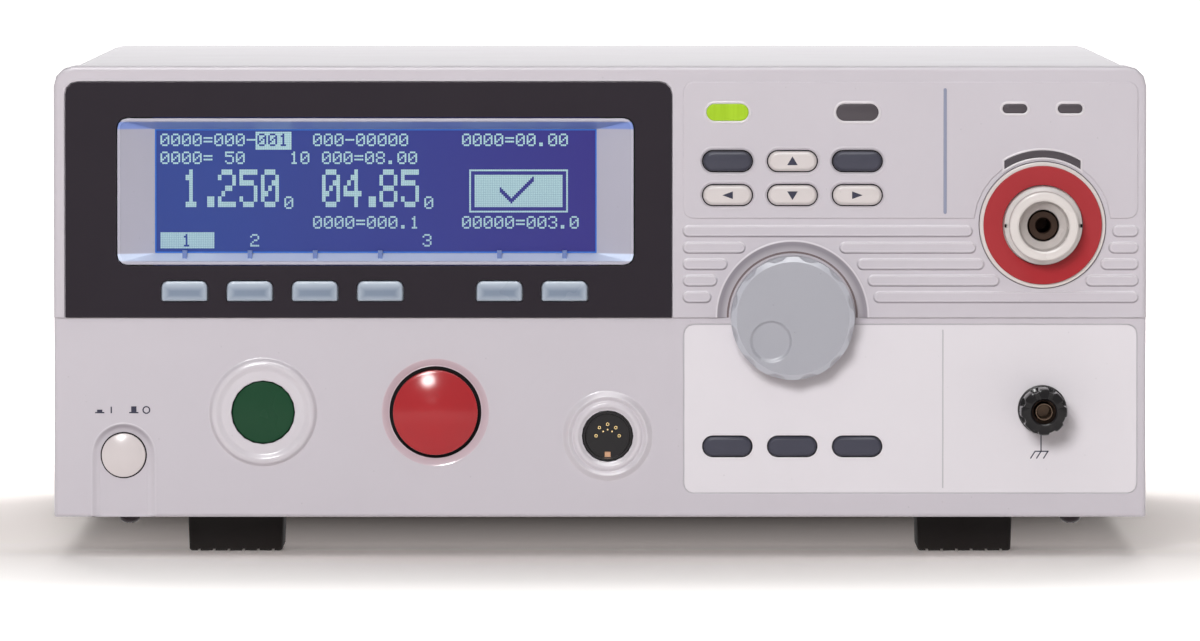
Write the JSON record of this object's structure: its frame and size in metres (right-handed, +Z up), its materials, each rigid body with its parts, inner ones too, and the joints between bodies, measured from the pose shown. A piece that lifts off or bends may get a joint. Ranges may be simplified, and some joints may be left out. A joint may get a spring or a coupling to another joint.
{
  "type": "electrical safety tester",
  "caption": "Bench electrical safety tester with a screen and keys, rotary knob, start and stop buttons, a guarded high-voltage socket, a return post, feet, a rear fan and a mains inlet.",
  "frame": {"origin": "under the middle of the whole instrument, on the surface that it stands on", "axes": "+X to the right seen from the front, +Y from the front panel to the back, +Z up"},
  "size_m": [0.33, 0.452, 0.148],
  "materials": {
    "black_plastic": "satin black",
    "black_rubber": "matt black",
    "board_green": "green circuit board",
    "brass": "plain",
    "bright_metal": "bright plated",
    "button_green": "satin dark green",
    "button_red": "glossy red",
    "case_plastic": "fine moulded grain, pale grey",
    "core_steel": "dark laminated steel",
    "cover_paint": "satin pale grey paint",
    "cream_key": "satin cream",
    "dark_key": "satin dark grey",
    "fascia_black": "smooth dark plate",
    "frame_grey": "satin grey",
    "knob_grey": "satin mid grey",
    "lamp_dark": "unlit dark window",
    "lamp_green": "lit green window",
    "overlay_white": "satin printed sheet, pale grey",
    "ring_red": "matt red",
    "screen_blue": "blue backlit glass",
    "sheet_steel": "plated sheet",
    "soft_key_blue": "satin blue grey"
  },
  "bodies": {
    "case": {"front_bezel": "case_plastic", "display_fascia": "fascia_black", "display_frame": "frame_grey", "screen_module": "screen_blue", "pass_lamp": "lamp_green", "fail_lamp": "lamp_dark", "ready_lamp": "lamp_dark", "test_lamp": "lamp_dark", "high_voltage_lamp": "lamp_dark", "overlay_panel": "overlay_white", "encoder_body": "sheet_steel", "power_switch": "black_plastic", "switch_board": "board_green", "remote_socket": "black_plastic", "hv_terminal_body": "cream_key", "hv_terminal_ring": "ring_red", "hv_contact": "brass", "return_base": "black_plastic", "return_stud": "bright_metal", "front_board": "board_green", "front_chassis": "sheet_steel", "top_cover": "cover_paint", "chassis_tray": "sheet_steel", "foot_front_left": "black_rubber", "foot_rear_left": "black_rubber", "foot_front_right": "black_rubber", "foot_rear_right": "black_rubber", "rear_panel": "sheet_steel", "fan_frame": "black_plastic", "fan_guard": "sheet_steel", "mains_inlet": "black_plastic", "main_board": "board_green", "hv_transformer": "core_steel", "power_supply": "sheet_steel"},
    "soft_key_1": {"soft_key_1": "soft_key_blue"},
    "soft_key_2": {"soft_key_2": "soft_key_blue"},
    "soft_key_3": {"soft_key_3": "soft_key_blue"},
    "soft_key_4": {"soft_key_4": "soft_key_blue"},
    "soft_key_5": {"soft_key_5": "soft_key_blue"},
    "soft_key_6": {"soft_key_6": "soft_key_blue"},
    "escape_key": {"escape_key": "dark_key"},
    "up_key": {"up_key": "cream_key"},
    "page_key": {"page_key": "dark_key"},
    "left_key": {"left_key": "cream_key"},
    "down_key": {"down_key": "cream_key"},
    "right_key": {"right_key": "cream_key"},
    "mode_key": {"mode_key": "dark_key"},
    "edit_key": {"edit_key": "dark_key"},
    "utility_key": {"utility_key": "dark_key"},
    "start_button": {"start_button": "button_green"},
    "stop_button": {"stop_button": "button_red"},
    "power_button": {"power_button": "cream_key"},
    "knob_assembly": {"knob": "knob_grey", "encoder_shaft": "bright_metal"},
    "return_insert": {"return_insert": "brass"},
    "return_cap": {"return_cap": "black_plastic"},
    "tilt_leg_left": {"tilt_leg_left": "black_plastic"},
    "tilt_leg_right": {"tilt_leg_right": "black_plastic"},
    "fan_rotor": {"fan_rotor": "black_plastic"},
    "fuse_drawer": {"fuse_drawer": "black_plastic"}
  },
  "joints": [
    {"name": "soft_key_1_press", "type": "slide", "parent": "case", "child": "soft_key_1", "axis": [0, 1, 0], "range_m": [0, 0.001], "stiffness_N_per_m": 600, "springref_m": -0.0005},
    {"name": "soft_key_2_press", "type": "slide", "parent": "case", "child": "soft_key_2", "axis": [0, 1, 0], "range_m": [0, 0.001], "stiffness_N_per_m": 600, "springref_m": -0.0005},
    {"name": "soft_key_3_press", "type": "slide", "parent": "case", "child": "soft_key_3", "axis": [0, 1, 0], "range_m": [0, 0.001], "stiffness_N_per_m": 600, "springref_m": -0.0005},
    {"name": "soft_key_4_press", "type": "slide", "parent": "case", "child": "soft_key_4", "axis": [0, 1, 0], "range_m": [0, 0.001], "stiffness_N_per_m": 600, "springref_m": -0.0005},
    {"name": "soft_key_5_press", "type": "slide", "parent": "case", "child": "soft_key_5", "axis": [0, 1, 0], "range_m": [0, 0.001], "stiffness_N_per_m": 600, "springref_m": -0.0005},
    {"name": "soft_key_6_press", "type": "slide", "parent": "case", "child": "soft_key_6", "axis": [0, 1, 0], "range_m": [0, 0.001], "stiffness_N_per_m": 600, "springref_m": -0.0005},
    {"name": "escape_key_press", "type": "slide", "parent": "case", "child": "escape_key", "axis": [0, 1, 0], "range_m": [0, 0.001], "stiffness_N_per_m": 600, "springref_m": -0.0005},
    {"name": "up_key_press", "type": "slide", "parent": "case", "child": "up_key", "axis": [0, 1, 0], "range_m": [0, 0.001], "stiffness_N_per_m": 600, "springref_m": -0.0005},
    {"name": "page_key_press", "type": "slide", "parent": "case", "child": "page_key", "axis": [0, 1, 0], "range_m": [0, 0.001], "stiffness_N_per_m": 600, "springref_m": -0.0005},
    {"name": "left_key_press", "type": "slide", "parent": "case", "child": "left_key", "axis": [0, 1, 0], "range_m": [0, 0.001], "stiffness_N_per_m": 600, "springref_m": -0.0005},
    {"name": "down_key_press", "type": "slide", "parent": "case", "child": "down_key", "axis": [0, 1, 0], "range_m": [0, 0.001], "stiffness_N_per_m": 600, "springref_m": -0.0005},
    {"name": "right_key_press", "type": "slide", "parent": "case", "child": "right_key", "axis": [0, 1, 0], "range_m": [0, 0.001], "stiffness_N_per_m": 600, "springref_m": -0.0005},
    {"name": "mode_key_press", "type": "slide", "parent": "case", "child": "mode_key", "axis": [0, 1, 0], "range_m": [0, 0.0008], "stiffness_N_per_m": 600, "springref_m": -0.0005},
    {"name": "edit_key_press", "type": "slide", "parent": "case", "child": "edit_key", "axis": [0, 1, 0], "range_m": [0, 0.0008], "stiffness_N_per_m": 600, "springref_m": -0.0005},
    {"name": "utility_key_press", "type": "slide", "parent": "case", "child": "utility_key", "axis": [0, 1, 0], "range_m": [0, 0.0008], "stiffness_N_per_m": 600, "springref_m": -0.0005},
    {"name": "start_button_press", "type": "slide", "parent": "case", "child": "start_button", "axis": [0, 1, 0], "range_m": [0, 0.0025], "stiffness_N_per_m": 800, "springref_m": -0.001},
    {"name": "stop_button_press", "type": "slide", "parent": "case", "child": "stop_button", "axis": [0, 1, 0], "range_m": [0, 0.0025], "stiffness_N_per_m": 800, "springref_m": -0.001},
    {"name": "power_button_release", "type": "slide", "parent": "case", "child": "power_button", "axis": [0, -1, 0], "range_m": [0, 0.0035]},
    {"name": "knob_turn", "type": "hinge", "parent": "case", "child": "knob_assembly", "pos_m": [0.0581, -0.2055, 0.0723], "axis": [0, -1, 0], "continuous": true},
    {"name": "return_cap_lift", "type": "slide", "parent": "case", "child": "return_insert", "axis": [0, -1, 0], "range_m": [0, 0.006]},
    {"name": "return_cap_turn", "type": "hinge", "parent": "return_insert", "child": "return_cap", "pos_m": [0.1336, -0.2083, 0.0443], "axis": [0, -1, 0], "range_deg": [0, 2160]},
    {"name": "tilt_leg_left_swing", "type": "hinge", "parent": "case", "child": "tilt_leg_left", "pos_m": [-0.1108, -0.1602, 0.0052], "axis": [-1, 0, 0], "range_deg": [0, 85]},
    {"name": "tilt_leg_right_swing", "type": "hinge", "parent": "case", "child": "tilt_leg_right", "pos_m": [0.1108, -0.1602, 0.0052], "axis": [-1, 0, 0], "range_deg": [0, 85]},
    {"name": "fan_spin", "type": "hinge", "parent": "case", "child": "fan_rotor", "pos_m": [0.0928, 0.189, 0.0796], "axis": [0, 1, 0], "continuous": true},
    {"name": "fuse_drawer_slide", "type": "slide", "parent": "case", "child": "fuse_drawer", "axis": [0, 1, 0], "range_m": [0, 0.02]}
  ],
  "couplings": [
    {"joint": "return_cap_turn", "follows": "return_cap_lift", "rad_per_m": 6283.2}
  ]
}
